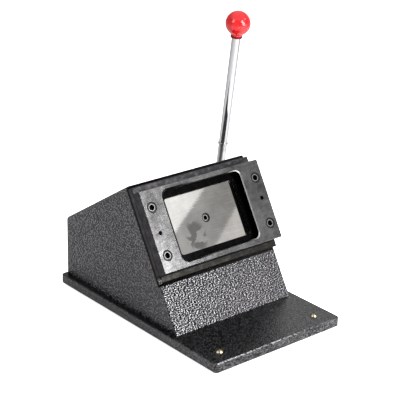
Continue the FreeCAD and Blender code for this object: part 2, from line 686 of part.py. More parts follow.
def make_die_plate():
    """Front plate: a wide relief at the front and a thin card-shaped cutting land at the back."""
    plate = body("die_plate_body")
    pad(plate, slope_rect(plate, "die_outline", "die_n", "die_mid_s", "die_wide", "die_high",
                          "die_corner"), "die_thick")
    pocket(plate, slope_rect(plate, "die_opening", "face_n", "card_s", "die_hole_wide",
                             "die_hole_high", "die_hole_corner"), "die_thick")
    pocket(plate, slope_rect(plate, "die_window", "face_n", "relief_s", "relief_wide",
                             "relief_high", "relief_corner"), "die_relief")
    drill(plate, "die_screw_holes", "face_n", "die_thick", "screw_clear", screw_spots())
    drill(plate, "die_screw_sinks", "face_n", "screw_sink_deep", "screw_sink", screw_spots())
    drill(plate, "die_dowel_holes", "face_n", "die_thick", "dowel_hole", dowel_spots())
    face = D["face_n"]
    dress(plate, "Chamfer", lambda e: at_height(e, face) and on_outline(e, "die"), "plate_edge")
    dress(plate, "Chamfer", lambda e: at_height(e, face) and on_relief(e), "relief_edge")
    node(on_slope(plate), "die_plate")


def on_relief(edge):
    """True for an edge on the mouth of the die plate's wide relief."""
    middle = edge.CenterOfMass
    return (abs(middle.x) < D["relief_wide"] / 2 + NEAR
            and abs(middle.y - D["relief_s"]) < D["relief_high"] / 2 + NEAR)


def socket_screw(at, head, head_high, shank, length, socket, deep):
    """Cap screw pointing down from the underside of its head at a place in the slope frame."""
    x, y, z = at
    top = prim("Cylinder", "cap_head", (x, y, z), Radius=head, Height=head_high)
    stem = prim("Cylinder", "cap_shank", (x, y, D[z] - D[length]), Radius=shank,
                Height=D[length] + LAP)
    hexagon = prim("Prism", "cap_hex", (x, y, D[z] + D[head_high] - D[deep]),
                   Circumradius=socket, Height=D[deep] + PAST)
    return cut("cap_screw", fuse("cap_blank", top, stem), hexagon)


def make_plate_fixings():
    screws = [socket_screw((x, s, "screw_seat_n"), "screw_head", "screw_head_high", "screw_shank",
                           "screw_len", "hex_six", "hex_deep") for x, s in screw_spots()]
    node(on_slope(group("plate_screw_set", *screws)), "plate_screws")
    pins = [prim("Cylinder", "dowel", (x, s, "dowel_n"), Radius="dowel_radius", Height="dowel_len")
            for x, s in dowel_spots()]
    node(on_slope(group("dowel_set", *pins)), "dowel_pins")


# ---------------------------------------------------------------- punch, ram and their guide


def make_punch():
    punch = body("punch_body")
    pad(punch, slope_rect(punch, "punch_outline", "ram_face", "card_s", "card_wide", "card_high",
                          "card_corner"), "punch_long")
    drill(punch, "punch_bore", "punch_rest", "punch_long", "bore_clear", ((0, "card_s"),))
    drill(punch, "punch_sink", "punch_rest", "bore_sink_deep", "bore_sink", ((0, "card_s"),))
    node(on_slope(punch), "punch")
    screw = socket_screw((0, "card_s", "bore_seat_n"), "bore_head", "bore_head_high", "bore_shank",
                         "bore_len", "hex_five", "hex_five_deep")
    node(on_slope(screw), "punch_screw")


def make_guide_block():
    """Thick block behind the front panel: the punch retracts into its pocket, the ram slides through."""
    block = body("guide_block_body")
    pad(block, slope_rect(block, "block_outline", "block_rear", "block_mid_s", "block_wide",
                          "block_high", "block_corner"), "block_long")
    pocket(block, slope_rect(block, "block_pocket", "block_front", "card_s", "block_pocket_wide",
                             "block_pocket_high", "block_corner"), "block_pocket_deep")
    pocket(block, slope_rect(block, "block_bore", "block_front", "card_s", "ram_bore_wide",
                             "ram_bore_high", "ram_bore_corner"), "block_long")
    drill(block, "block_taps", "block_front", "block_tap_deep", "screw_tap", screw_spots())
    node(on_slope(block), "guide_block")


def make_ram():
    """Sliding bar that carries the punch; its rear fork straddles the cam and holds the roller pin."""
    ram = body("ram_bar_body")
    pad(ram, slope_rect(ram, "ram_section", "ram_root", "card_s", "ram_wide", "ram_high",
                        "ram_corner"), "ram_long")
    drill(ram, "ram_tap", "ram_face", "ram_tap_deep", "tap_five", ((0, "card_s"),))
    arms = []
    for x in ("-fork_outer", "fork_inner"):
        arm = prim("Box", "fork_arm", (x, D["card_s"] - D["fork_round"], "pin_n"),
                   Length="fork_thick", Width="fork_wide", Height=D["ram_root"] - D["pin_n"] + LAP)
        nose = prim("Cylinder", "fork_nose", (x, "card_s", "pin_n"), ALONG_X, Radius="fork_round",
                    Height="fork_thick")
        arms += [arm, nose]
    half = D["fork_outer"] + PAST
    hole = prim("Cylinder", "fork_hole", (-half, "card_s", "pin_n"), ALONG_X, Radius="pin_hole",
                Height=2 * half)
    node(on_slope(cut("ram_forked", fuse("ram_blank", ram, *arms), hole)), "ram")


def make_roller():
    half = D["roller_half"]
    tyre = prim("Cylinder", "roller_tyre", (-half, "card_s", "pin_n"), ALONG_X, Radius="roller_radius",
                Height=2 * half)
    bore = prim("Cylinder", "roller_bore", (-half - PAST, "card_s", "pin_n"), ALONG_X,
                Radius="roller_bore", Height=2 * (half + PAST))
    node(on_slope(cut("roller", tyre, bore)), "cam_roller")
    pin = prim("Cylinder", "roller_axle", (-D["pin_long"] / 2, "card_s", "pin_n"), ALONG_X,
               Radius="pin_radius", Height="pin_long")
    node(on_slope(group("axle", pin)), "roller_pin")
    clips = []
    wide, deep = D["clip_mouth"], D["clip_radius"] + PAST
    through = D["clip_thick"] + 2 * PAST
    for x in (-D["clip_x"] - D["clip_thick"], D["clip_x"]):
        ring = prim("Cylinder", "clip_disc", (x, "card_s", "pin_n"), ALONG_X, Radius="clip_radius",
                    Height="clip_thick")
        eye = prim("Cylinder", "clip_eye", (x - PAST, "card_s", "pin_n"), ALONG_X, Radius="pin_hole",
                   Height=through)
        mouth = prim("Box", "clip_mouth", (x - PAST, D["card_s"] - wide / 2, D["pin_n"] - deep),
                     Length=through, Width=wide, Height=deep)
        clips.append(cut("clip", ring, eye, mouth))
    node(on_slope(group("clip_set", *clips)), "pin_clips")


# ---------------------------------------------------------------- cam shaft


def on_shaft(name, x0, x1, radius):
    """A cylinder about the shaft's axis between two stations along X."""
    return prim("Cylinder", name, (x0, "shaft_y", "shaft_z"), ALONG_X, Radius=radius,
                Height=read(x1)[0] - read(x0)[0])


def pitch_point(turn_deg):
    """Centre of the roller in the cam's own frame after the lever has turned."""
    bearing = math.radians(90 + D["slope_deg"] - turn_deg)
    reach = D["cam_reach"] + D["cam_rate"] * math.radians(turn_deg)
    y = D["shaft_y"] + reach * math.cos(bearing)
    z = D["shaft_z"] + reach * math.sin(bearing)
    return V(0, y, z)


def pitch_step(turn_deg):
    """Unit vector along the pitch curve, the way the roller runs as the lever turns."""
    nudge = 0.01
    return (pitch_point(turn_deg + nudge) - pitch_point(turn_deg - nudge)).normalize()


def pitch_normal(turn_deg):
    """Unit vector square to the pitch curve, pointing away from the shaft."""
    step = pitch_step(turn_deg)
    normal = V(0, step.z, -step.y)
    outward = pitch_point(turn_deg) - V(0, D["shaft_y"], D["shaft_z"])
    return normal if normal.dot(outward) > 0 else normal * -1


def band_along_pitch(half_width, half_thick):
    """A round-ended band of constant width that follows the pitch curve."""
    first, last = -D["cam_margin"], D["cam_turn"] + D["cam_margin"]
    spans = 24
    stations = [first + (last - first) * i / spans for i in range(spans + 1)]
    outer = [pitch_point(t) + pitch_normal(t) * half_width for t in stations]
    inner = [pitch_point(t) - pitch_normal(t) * half_width for t in stations]
    rims = []
    for points in (outer, inner):
        curve = Part.BSplineCurve()
        curve.interpolate(points)
        rims.append(curve.toShape())
    ends = []
    for turn, sign, rim in ((first, -1, 0), (last, 1, -1)):
        tip = pitch_point(turn) + pitch_step(turn) * sign * half_width
        ends.append(Part.Arc(outer[rim], tip, inner[rim]).toShape())
    wire = Part.Wire(Part.__sortEdges__([rims[0], ends[1], rims[1], ends[0]]))
    solid = Part.Face(wire).extrude(V(2 * half_thick, 0, 0))
    solid.translate(V(-half_thick, 0, 0))
    return solid


def fan_to_pitch(half_thick):
    """The web between the shaft's axis and the pitch curve."""
    axis = V(0, D["shaft_y"], D["shaft_z"])
    spans = 16
    points = [pitch_point(D["cam_turn"] * i / spans) for i in range(spans + 1)]
    curve = Part.BSplineCurve()
    curve.interpolate(points)
    sides = [Part.makeLine(points[-1], axis), Part.makeLine(axis, points[0])]
    solid = Part.Face(Part.Wire([curve.toShape()] + sides)).extrude(V(2 * half_thick, 0, 0))
    solid.translate(V(-half_thick, 0, 0))
    return solid


def make_cam():
    """Plate cam: one turn of the lever moves the roller outward at a constant rate."""
    web = doc.addObject("Part::Feature", "cam_web")
    web.Shape = fan_to_pitch(D["cam_half"])
    rim = doc.addObject("Part::Feature", "cam_rim")
    rim.Shape = band_along_pitch(D["cam_rim"], D["cam_half"])
    slot = doc.addObject("Part::Feature", "cam_slot")
    slot.Shape = band_along_pitch(D["cam_slot"], D["cam_half"] + PAST)
    hub = on_shaft("cam_hub", "-cam_hub_half", "cam_hub_half", "cam_hub")
    bore = on_shaft("cam_bore", -D["cam_hub_half"] - PAST, D["cam_hub_half"] + PAST, "bore_fit")
    drift = drift_pin("cam_drift_hole", "drift_hole", D["cam_hub"] + PAST)
    blank = cut("cam_ring", fuse("cam_blank", rim, web, hub), bore, drift)
    node(cut("cam", blank, slot), "cam_plate")


def spoke_place(distance, x="lever_x", turn_deg=D["lean_deg"]):
    """Place at a distance out from the shaft's axis, its z pointing away: by default up the lever."""
    turn = FreeCAD.Rotation(V(1, 0, 0), turn_deg)
    on_axis = V(read(x)[0], D["shaft_y"], D["shaft_z"])
    return FreeCAD.Placement(on_axis + turn.multVec(V(0, 0, distance)), turn)


def spoke(name, start, end, radius, x="lever_x", turn_deg=D["lean_deg"]):
    """A cylinder square to the shaft's axis, between two distances from it."""
    obj = prim("Cylinder", name, Radius=radius, Height=end - start)
    obj.Placement = spoke_place(start, x, turn_deg)
    return obj


def drift_pin(name, radius, half):
    return spoke(name, -half, half, radius, "drift_x")


def grub_screw(x, turn_deg):
    """Socket set screw in a radial hole, its point just clear of the shaft."""
    end = D["grub_start"] + D["grub_long"]
    bar = spoke("grub_bar", D["grub_start"], end, "grub_radius", x, turn_deg)
    socket = prim("Prism", "grub_socket", Circumradius="grub_hex", Height=D["grub_hex_deep"] + PAST)
    socket.Placement = spoke_place(end - D["grub_hex_deep"], x, turn_deg)
    return cut("grub", bar, socket)


def make_shaft():
    bar = on_shaft("shaft_bar", "shaft_left", "shaft_right", "shaft_radius")
    tap = on_shaft("shaft_tap", D["shaft_right"] - D["end_tap_deep"], D["shaft_right"] + PAST, "tap_six")
    hole = drift_pin("shaft_drift_hole", "drift_hole", D["shaft_radius"] + PAST)
    node(cut("shaft", bar, tap, hole), "drive_shaft")
    node(drift_pin("drift", "drift_radius", D["drift_half"]), "cam_pin")
    collars = []
    grubs = [grub_screw("lever_x", D["lean_deg"] + 180)]
    for x in (-D["collar_x"] - D["collar_long"], D["collar_x"]):
        ring = on_shaft("collar_ring", x, x + D["collar_long"], "collar_radius")
        eye = on_shaft("collar_eye", x - PAST, x + D["collar_long"] + PAST, "bore_fit")
        middle = x + D["collar_long"] / 2
        hole = spoke("collar_grub_hole", 0, D["collar_radius"] + PAST, "grub_hole", middle, 0)
        collars.append(cut("collar", ring, eye, hole))
        grubs.append(grub_screw(middle, 0))
    node(group("collar_set", *collars), "shaft_collars")
    node(group("grub_set", *grubs), "grub_screws")


def make_bearings():
    blocks = []
    bushes = []
    for side in (-1, 1):
        x = D["block_inner_x"] if side > 0 else -D["block_outer_x"]
        long = D["bearing_long"]
        blank = prim("Box", "bearing_box", (x, D["shaft_y"] - D["bearing_deep"] / 2, "deck_z"),
                     Length="bearing_long", Width="bearing_deep", Height="block_z")
        seat = on_shaft("bearing_seat", x - PAST, x + long + PAST, "bush_seat")
        taps = [prim("Cylinder", "bearing_tap", (x + long / 2, y, D["deck_z"] - PAST),
                     Radius="tap_six", Height=D["bearing_tap_deep"] + PAST)
                for y in ("front_hole_y", "rear_hole_y")]
        blocks.append(cut("bearing", blank, seat, *taps))
        sleeve = on_shaft("bush_sleeve", x, x + long, "bush_radius")
        eye = on_shaft("bush_eye", x - PAST, x + long + PAST, "bore_fit")
        bushes.append(cut("bush", sleeve, eye))
    node(group("bearing_set", *blocks), "bearing_blocks")
    node(group("bush_set", *bushes), "bearing_bushes")


# ---------------------------------------------------------------- lever


def make_hub():
    """Lever hub on the shaft's end, the thrust washer behind it and the washer and screw on it."""
    ring = on_shaft("washer_disc", "washer_in", "washer_out", "washer_radius")
    eye = on_shaft("washer_eye", D["washer_in"] - PAST, D["washer_out"] + PAST, "bore_fit")
    node(cut("washer", ring, eye), "shaft_washer")

    disc = on_shaft("hub_disc", "hub_in", "hub_out", "hub_radius")
    boss = spoke("hub_boss", D["boss_root"], D["boss_reach"], "boss_radius")
    eye = on_shaft("hub_eye", D["hub_in"] - PAST, D["hub_out"] + PAST, "bore_fit")
    socket = spoke("hub_socket", D["socket_start"], D["boss_reach"] + PAST, "stem_hole")
    hole = spoke("hub_grub_hole", 0, D["hub_radius"] + PAST, "grub_hole",
                 turn_deg=D["lean_deg"] + 180)
    node(cut("hub", fuse("hub_blank", disc, boss), eye, socket, hole), "lever_hub")

    seat = D["hub_out"] + D["end_washer_thick"]
    disc = on_shaft("end_disc", "hub_out", seat, "end_washer_radius")
    eye = on_shaft("end_eye", D["hub_out"] - PAST, seat + PAST, "screw_clear")
    node(cut("end_washer", disc, eye), "end_washer")
    head = on_shaft("end_head", seat, seat + D["end_head_high"], "end_head")
    shank = on_shaft("end_shank", seat - D["end_len"], seat + LAP, "screw_shank")
    hexagon = prim("Prism", "end_hex", (seat + D["end_head_high"] - D["hex_deep"], "shaft_y", "shaft_z"),
                   ALONG_X, Circumradius="hex_six", Height=D["hex_deep"] + PAST)
    node(cut("end_screw", fuse("end_blank", head, shank), hexagon), "end_screw")


def make_lever():
    """Stem with its lock nut, the rod that screws into it, and the ball knob on the rod."""
    end = D["stem_end"]
    stem = spoke("stem_bar", D["stem_start"], end, "stem_radius")
    flange = spoke("stem_flange", end - D["stem_ring_long"], end, "stem_ring")
    bore = spoke("stem_bore", end - D["stud_long"] - PAST, end + PAST, "stud_bore")
    node(cut("stem", fuse("stem_blank", stem, flange), bore), "lever_stem")

    nut = prim("Prism", "nut_hex", Circumradius="nut_hex", Height="nut_high")
    nut.Placement = spoke_place(D["nut_reach"])
    thread = spoke("nut_thread", D["nut_reach"] - PAST, D["nut_reach"] + D["nut_high"] + PAST,
                   "stem_hole")
    node(cut("nut", nut, thread), "lever_nut")

    rod = spoke("rod_bar", end, D["rod_end"], "rod_radius")
    low = spoke("rod_low_stud", end - D["stud_long"], end + LAP, "stud_radius")
    high = spoke("rod_high_stud", D["rod_end"] - LAP, D["rod_end"] + D["stud_long"], "stud_radius")
    node(fuse("rod", rod, low, high), "lever_rod")

    ball = prim("Sphere", "knob_ball", Radius="knob_radius")
    ball.Placement = spoke_place(D["knob_reach"])
    neck = spoke("knob_neck", D["rod_end"], D["knob_reach"], "knob_neck")
    thread = spoke("knob_thread", D["rod_end"] - PAST, D["rod_end"] + D["stud_long"] + PAST,
                   "stud_bore")
    node(cut("knob", fuse("knob_blank", ball, neck), thread), "ball_knob")


# ---------------------------------------------------------------- build, check, write


def check_and_write():
    doc.recompute()
    for obj in doc.Objects:
        state = " ".join(obj.State)
        if "Invalid" in state or "Error" in state:
            raise RuntimeError("%s is in state %s" % (obj.Name, state))
    labels = [obj.Label for obj in NODES]
    if len(set(labels)) != len(labels):
        raise RuntimeError("two sub-parts share a label")
    for obj in NODES:
        if obj.Shape.isNull() or not obj.Shape.isValid() or not obj.Shape.Solids:
            raise RuntimeError("bad shape on " + obj.Label)
    os.makedirs(OUT_DIR, exist_ok=True)
    for obj in NODES:
        obj.Shape.exportStep("%s/%s.step" % (OUT_DIR, obj.Label))
        box = obj.Shape.BoundBox
        print("%-16s solids %d  volume %9.1f  x %.2f..%.2f  y %.2f..%.2f  z %.2f..%.2f" % (
            obj.Label, len(obj.Shape.Solids), obj.Shape.Volume,
            box.XMin, box.XMax, box.YMin, box.YMax, box.ZMin, box.ZMax))


make_base_plate()
make_mat()
make_housing()
make_cover()
make_angles()
make_base_screws()
make_guide_plate()
make_spacers()
make_die_plate()
make_plate_fixings()
make_guide_block()
make_punch()
make_ram()
make_roller()
make_shaft()
make_cam()
make_bearings()
make_hub()
make_lever()
check_and_write()
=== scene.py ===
import math

import bpy
from mathutils import Matrix, Vector

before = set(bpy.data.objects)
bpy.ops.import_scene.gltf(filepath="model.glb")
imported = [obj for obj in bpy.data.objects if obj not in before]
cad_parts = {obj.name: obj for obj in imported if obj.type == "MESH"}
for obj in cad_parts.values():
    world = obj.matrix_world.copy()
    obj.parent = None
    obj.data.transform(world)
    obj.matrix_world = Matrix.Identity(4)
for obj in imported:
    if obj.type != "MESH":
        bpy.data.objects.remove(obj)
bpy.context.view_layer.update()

# ------------------------------------------------------------------ rubber mat
# A 3 mm sheet of black nitrile rubber under the base, cut with a knife and pressed with
# a fine cloth grain. The four corner screws hold it.

MM = 0.001


class Wire:
    """An output socket of a mixture. An expression on it adds the Math nodes it needs."""

    def __init__(self, mixture, socket):
        self.mixture = mixture
        self.socket = socket

    def out(self, name):
        """Another output of the same node."""
        return Wire(self.mixture, self.socket.node.outputs[name])

    def sum_up(self, operation, *values):
        return self.mixture.add("ShaderNodeMath", {"operation": operation}, dict(enumerate(values)))

    def __add__(self, other):
        return self.sum_up("ADD", self, other)

    def __sub__(self, other):
        return self.sum_up("SUBTRACT", self, other)

    def __rsub__(self, other):
        return self.sum_up("SUBTRACT", other, self)

    def __mul__(self, other):
        return self.sum_up("MULTIPLY", self, other)

    def __pow__(self, other):
        return self.sum_up("POWER", self, other)

    def __abs__(self):
        return self.sum_up("ABSOLUTE", self)

    __radd__ = __add__
    __rmul__ = __mul__

    def most(self, other):
        return self.sum_up("MAXIMUM", self, other)

    def ramp(self, low, high):
        """0 below low, 1 above high, smooth between; the other way round if high is the lower."""
        return self.mixture.add("ShaderNodeMapRange", {"interpolation_type": "SMOOTHSTEP"}, {
            "Value": self, "From Min": low, "From Max": high})


class Mixture:
    """Shader nodes wired up to one shader. Every other node comes from add()."""

    def __init__(self, owner, shader):
        owner.use_nodes = True
        self.tree = owner.node_tree
        self.surface = self.tree.nodes[shader]

    def add(self, kind, settings=None, sockets=None, output=0):
        """Puts in one node, sets it up, feeds its sockets and gives one output as a Wire."""
        node = self.tree.nodes.new(kind)
        for name, value in (settings or {}).items():
            setattr(node, name, value)
        for key, value in (sockets or {}).items():
            self.feed(node.inputs[key], value)
        return Wire(self, node.outputs[output])

    def feed(self, socket, value):
        if isinstance(value, Wire):
            self.tree.links.new(value.socket, socket)
        elif socket.type == "RGBA" and not isinstance(value, (int, float)):
            socket.default_value = (*value[:3], 1.0)
        else:
            socket.default_value = value

    def shade(self, **sockets):
        """Sets or links sockets of the shader; an underscore stands for the space in a name."""
        for name, value in sockets.items():
            self.feed(self.surface.inputs[name.replace("_", " ")], value)

    def mix(self, low, high, mask):
        """The colour low where mask is 0, high where it is 1."""
        settings = {"data_type": "RGBA"}
        return self.add("ShaderNodeMix", settings, {0: mask, 6: low, 7: high}, output=2)

    def vector(self, operation, *values, output=0):
        """Vector Math on coordinates."""
        settings = {"operation": operation}
        return self.add("ShaderNodeVectorMath", settings, dict(enumerate(values)), output)

    def apart(self, place):
        """Coordinates taken apart: out() of this gives X, Y or Z."""
        return self.add("ShaderNodeSeparateXYZ", None, {"Vector": place})


class Finish(Mixture):
    """A material whose patterns lie in the coordinates of the piece that wears it."""

    def __init__(self, name, **fixed):
        self.material = bpy.data.materials.new(name)
        super().__init__(self.material, "Principled BSDF")
        self.place = self.add("ShaderNodeTexCoord").out("Object")
        self.shade(**fixed)

    def noise(self, size, detail=2.0, rough=0.5, twist=0.0, place=None):
        """Cloudy noise whose lumps are about size metres across."""
        return self.add("ShaderNodeTexNoise", None, {
            "Vector": place or self.place, "Scale": 0.5 / size, "Detail": detail,
            "Roughness": rough, "Distortion": twist})

    def stretch(self, factors, place=None):
        """Coordinates scaled per axis, so that a pattern read from them is drawn out."""
        return self.vector("MULTIPLY", place or self.place, factors)

    def relief(self, height, deep):
        """Feeds a height from 0 to 1, deep metres high, to the shader's normal."""
        self.shade(Normal=self.add("ShaderNodeBump", None, {
            "Strength": 1.0, "Distance": deep, "Height": height}))


def grey(level):
    """A neutral colour."""
    return (level, level, level)


def wear_on(finish, *names):
    """Gives CAD nodes this finish."""
    for name in names:
        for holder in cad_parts[name].material_slots:
            holder.material = finish.material


rubber = Finish("mat rubber", IOR=1.5)
cloth = rubber.noise(0.9 * MM, 1.0)
dust = rubber.noise(9 * MM, 4.0)
rubber.shade(
    Base_Color=rubber.mix(grey(0.012), (0.035, 0.034, 0.032), dust.ramp(0.35, 0.75)),
    Roughness=0.72 + 0.18 * cloth)
rubber.relief(cloth, 0.12 * MM)
wear_on(rubber, "rubber_mat")

# ------------------------------------------------------------------ brass screws and mat nuts
# Four domed machine screws of turned brass with a cross recess, dulled by handling, and
# the thin brass nuts that they draw up into the underside of the mat.

brass = Finish("dulled brass", Metallic=1.0)
tarnish = brass.noise(1.4 * MM, 3.0)
brass.shade(
    Base_Color=brass.mix((0.20, 0.16, 0.085), (0.42, 0.37, 0.25), tarnish.ramp(0.35, 0.7)),
    Roughness=0.16 + 0.22 * tarnish)
brass.relief(brass.noise(0.3 * MM), 0.02 * MM)
wear_on(brass, "foot_screws", "mat_nuts")

# ------------------------------------------------------------------ base plate
# A 9 mm steel plate with broken edges, sprayed with a fine black hammer enamel. Its sawn edges are
# coloured with painted light, lit and shaded flanks of fine pebbles that grow lighter to the right,
# and pale flecks along the top of the front one are chipped paint with a painted highlight.

BASE_HALF = Vector((76 * MM, 118 * MM))
BASE_TOP = 12 * MM


def hammer_enamel(name, pebble, deep, gloss):
    """Hammer enamel: pebbles of leafing flake with dark valleys between them.

    Gives the finish and a mask that is 0 in the valleys and 1 on the crests.
    """
    finish = Finish(name, Metallic=0.6, IOR=1.5)
    drift = finish.add("ShaderNodeTexNoise", None, {
        "Vector": finish.place, "Scale": 0.4 / pebble, "Detail": 1.0}).out("Color")
    wander = finish.vector("MULTIPLY_ADD", drift, grey(1.1 * pebble), finish.place)
    cell = finish.add("ShaderNodeTexVoronoi", {"feature": "SMOOTH_F1"}, {
        "Vector": wander, "Scale": 1 / pebble, "Smoothness": 0.35})
    skin = 1 - cell.ramp(0.05, 0.75)
    cloud = finish.noise(45 * MM, 3.0).ramp(0.3, 0.7)
    finish.shade(Roughness=gloss + 0.12 * (1 - skin))
    finish.relief(skin + 0.08 * finish.noise(0.4 * MM), deep)
    return finish, skin.ramp(0.2, 0.95) * (0.85 + 0.3 * cloud)


def flank_light(finish, size, step, place):
    """Painted light: how much higher fine pebbles are here than one step away, which makes one
    flank of each pebble lit and the other shaded.
    """
    away = finish.vector("ADD", place, step)
    return finish.noise(size, 1.0, place=place) - finish.noise(size, 1.0, place=away)


base_enamel, crest = hammer_enamel("black hammer enamel", 1.4 * MM, 0.15 * MM, 0.15)
at = base_enamel.apart(base_enamel.place)
from_rim = (abs(at.out("X")) - BASE_HALF.x).most(abs(at.out("Y")) - BASE_HALF.y)
below_top = at.out("Z").ramp(BASE_TOP - 0.3 * MM, BASE_TOP - 0.8 * MM)
on_edge = from_rim.ramp(-1.4 * MM, -0.7 * MM) * below_top
# The sawn edges are coloured with painted light: lit and shaded flanks of fine pebbles, lighter
# towards the right.
drawn = base_enamel.stretch((1.0, 1.0, 1.6))
lit_flank = flank_light(base_enamel, 0.75 * MM, (1.0 * MM, -1.0 * MM, -1.0 * MM), drawn).ramp(-0.04, 0.12)
left_edge = base_enamel.mix(grey(0.006), (0.080, 0.080, 0.083), lit_flank)
right_edge = base_enamel.mix(grey(0.006), (0.108, 0.108, 0.112), lit_flank)
edge_tone = base_enamel.mix(left_edge, right_edge, at.out("X").ramp(-30 * MM, 60 * MM))
top_tone = base_enamel.mix((0.001, 0.001, 0.0012), (0.070, 0.070, 0.076), crest.ramp(0.15, 1.0))
whole = base_enamel.mix(top_tone, edge_tone, on_edge)
below_rim = at.out("Z").ramp(BASE_TOP - 1.1 * MM, BASE_TOP - 0.7 * MM)
thin = from_rim.ramp(-1.1 * MM, -0.7 * MM) * below_rim
at_left = 0.3 + 0.7 * at.out("X").ramp(45 * MM, 0)
at_front = 0.2 + 0.8 * at.out("Y").ramp(3 * MM - BASE_HALF.y, 1 * MM - BASE_HALF.y)
# Pale flecks along the top of the front edge, stronger on the left: chipped paint and a painted
# highlight along that edge.
chips_and_glint = base_enamel.noise(1.1 * MM, 2.0).ramp(0.36, 0.60) * at_left * at_front
base_enamel.shade(Base_Color=base_enamel.mix(whole, (0.17, 0.17, 0.175), thin * chips_and_glint),
                  Metallic=0.6 + 0.2 * on_edge * (1 - lit_flank))
wear_on(base_enamel, "base_plate")

# ------------------------------------------------------------------ base screws and angles
# Hexagon-socket flat-head screws, chemically blackened, driven up through the base into
# the bearing blocks and into two hot-rolled angles inside the side panels.


def blackened(name):
    """Black oxide on steel, rubbed brown-grey where a key or a hand touches it."""
    finish = Finish(name, Metallic=1.0)
    rub = finish.noise(1.6 * MM, 4.0).ramp(0.42, 0.72)
    finish.shade(Base_Color=finish.mix((0.035, 0.034, 0.036), (0.19, 0.185, 0.18), rub),
                 Roughness=0.32 + 0.2 * finish.noise(0.7 * MM))
    finish.relief(finish.noise(0.35 * MM), 0.02 * MM)
    return finish


screw_black = blackened("black oxide screws")
wear_on(screw_black, "base_screws", "end_screw", "grub_screws")

rolled = Finish("hot rolled angle", Metallic=0.85)
scale = rolled.noise(6 * MM, 5.0, 0.6)
rolled.shade(
    Base_Color=rolled.mix((0.10, 0.095, 0.10), (0.34, 0.32, 0.31), scale.ramp(0.4, 0.65)),
    Roughness=0.48 + 0.25 * scale)
rolled.relief(rolled.noise(1.2 * MM, 4.0), 0.08 * MM)
wear_on(rolled, "mounting_angles")

# ------------------------------------------------------------------ housing
# Folded 3 mm steel sheet, welded and dressed at the corners, sprayed with a coarse dark
# grey hammer enamel inside and out. The sloping front carries the plates; its pebbles carry painted
# lit and shaded flanks, strongest on the left, and a dark band of painted shade lies round the
# guide plate.

SLOPE = math.radians(59.0)
SLOPE_FOOT = Vector((0.0, -56 * MM, BASE_TOP))
GUIDE_HALF = Vector((70.5 * MM, 45.5 * MM))
GUIDE_MID = 94.5 * MM


def slope_place(finish):
    """Coordinates of the sloping front: x across, y up the slope, z out of it."""
    return finish.add("ShaderNodeMapping", {"vector_type": "TEXTURE"}, {
        "Vector": finish.place, "Location": SLOPE_FOOT, "Rotation": (SLOPE, 0.0, 0.0)})


housing_enamel, crest = hammer_enamel("grey hammer enamel", 1.7 * MM, 0.24 * MM, 0.10)
on_slope = slope_place(housing_enamel)
at = housing_enamel.apart(on_slope)
SQUEEZE = 1.9
drawn = housing_enamel.stretch((1.0, SQUEEZE, 1.0), on_slope)
lit_flank = flank_light(housing_enamel, 0.95 * MM, (1.18 * MM, -0.8 * SQUEEZE * MM, 0.0), drawn)
lit_flank = lit_flank.ramp(0.0, 0.13)
even = housing_enamel.mix((0.008, 0.0075, 0.009), (0.128, 0.125, 0.136), crest)
# On the front the pebbles' flanks are painted lit and shaded, strongly on the left and fading to
# the right: painted light.
flanks_lit_left = housing_enamel.mix(grey(0.002), (0.142, 0.140, 0.145), lit_flank)
flanks_lit_right = housing_enamel.mix((0.014, 0.0135, 0.015), (0.124, 0.121, 0.128), lit_flank)
flank_light_fades = at.out("X").ramp(-75 * MM, 70 * MM)
on_front = at.out("Z").ramp(-1.2 * MM, -0.4 * MM)
whole = housing_enamel.mix(even, housing_enamel.mix(flanks_lit_left, flanks_lit_right, flank_light_fades), on_front)
past_plate = abs(at.out("X")) - GUIDE_HALF.x
past_plate = past_plate.most(abs(at.out("Y") - GUIDE_MID) - GUIDE_HALF.y)
# A near-black band of painted shade in the enamel round the guide plate, made rough so it catches
# no highlight.
seam_shade = past_plate.ramp(2.9 * MM, 2.1 * MM) * at.out("Z").ramp(-4.2 * MM, -3.0 * MM)
housing_enamel.shade(
    Base_Color=housing_enamel.mix(whole, grey(0.001), seam_shade),
    Metallic=0.6 + 0.4 * on_front * (1 - lit_flank) * (1 - 0.8 * flank_light_fades),
    Roughness=0.10 + 0.12 * (1 - crest) + 0.7 * seam_shade)
wear_on(housing_enamel, "housing_shell")

# ------------------------------------------------------------------ rear cover and its screws
# A flat 1.5 mm lid over the hatch in the back, in a finer grade of the same enamel, held
# by four slotted screws in bright zinc.

cover_enamel, crest = hammer_enamel("rear cover enamel", 1.6 * MM, 0.2 * MM, 0.14)
cover_enamel.shade(
    Base_Color=cover_enamel.mix((0.010, 0.010, 0.011), (0.10, 0.10, 0.106), crest))
wear_on(cover_enamel, "rear_cover")

zinc = Finish("bright zinc", Metallic=1.0)
bloom = zinc.noise(2.2 * MM, 4.0)
zinc.shade(
    Base_Color=zinc.mix((0.48, 0.49, 0.50), (0.78, 0.78, 0.76), bloom.ramp(0.35, 0.65)),
    Roughness=0.2 + 0.22 * bloom)
zinc.relief(zinc.noise(0.5 * MM), 0.02 * MM)
wear_on(zinc, "cover_screws", "shaft_washer", "end_washer", "lever_nut")

# ------------------------------------------------------------------ bearing blocks and guide block
# Grey cast iron, machined on the faces that fit and left with a milled grain, lightly
# oiled, with two sintered bronze bushes pressed into the bearing blocks.

iron = Finish("machined iron", Metallic=0.9)
grain = iron.noise(0.8 * MM, 3.0, place=iron.stretch((0.12, 1, 1)))
graphite = iron.noise(4 * MM, 5.0, 0.65)
iron.shade(
    Base_Color=iron.mix((0.10, 0.10, 0.105), (0.27, 0.265, 0.26), 0.6 * graphite + 0.4 * grain),
    Roughness=0.36 + 0.25 * grain)
iron.relief(grain, 0.05 * MM)
wear_on(iron, "bearing_blocks", "guide_block")

